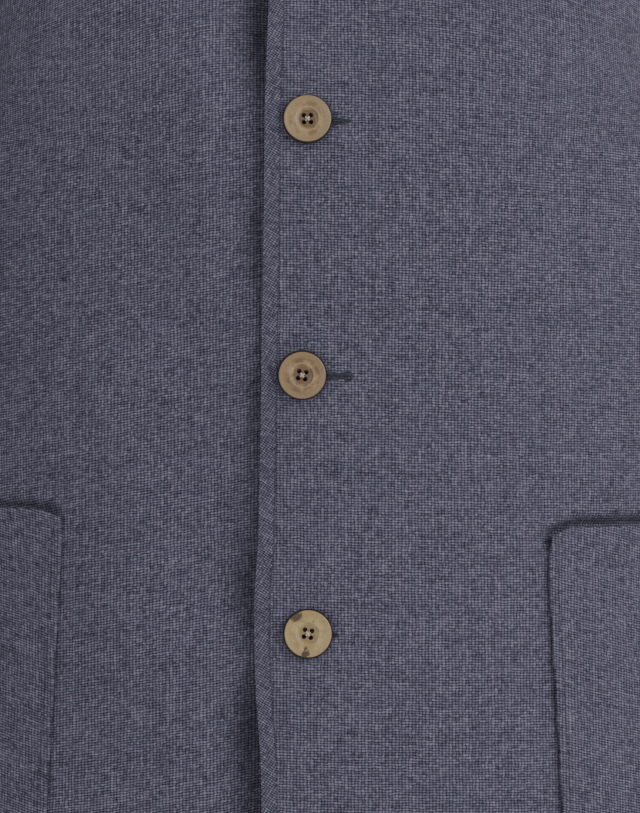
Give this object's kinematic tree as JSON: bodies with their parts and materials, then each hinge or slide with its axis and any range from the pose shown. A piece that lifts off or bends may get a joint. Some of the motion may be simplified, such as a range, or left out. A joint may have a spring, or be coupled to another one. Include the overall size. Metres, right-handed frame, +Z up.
{
  "type": "band-collar jacket",
  "caption": "Men's hip-length jacket with a band collar, buttoned front, patch pockets and long two-piece sleeves, hollow as worn.",
  "frame": {"origin": "middle of the base of the neck, level with the two shoulder points beside it, where the wearer's shoulders hold the jacket", "axes": "+Z up, -Y the jacket's front, +X the wearer's left, whose front lies over"},
  "size_m": [0.6938, 0.2645, 0.7396],
  "materials": {
    "cloth": "matte slate-blue hopsack with uneven linen-like threads",
    "horn": "polished tan horn with brown marbling"
  },
  "bodies": {
    "root": {"front_left": "cloth", "front_right": "cloth", "back": "cloth", "collar_band": "cloth", "pocket_left": "cloth", "pocket_right": "cloth", "top_sleeve_left": "cloth", "under_sleeve_left": "cloth", "top_sleeve_right": "cloth", "under_sleeve_right": "cloth", "button_1": "horn", "button_2": "horn", "button_3": "horn", "button_4": "horn", "button_5": "horn"}
  },
  "joints": []
}
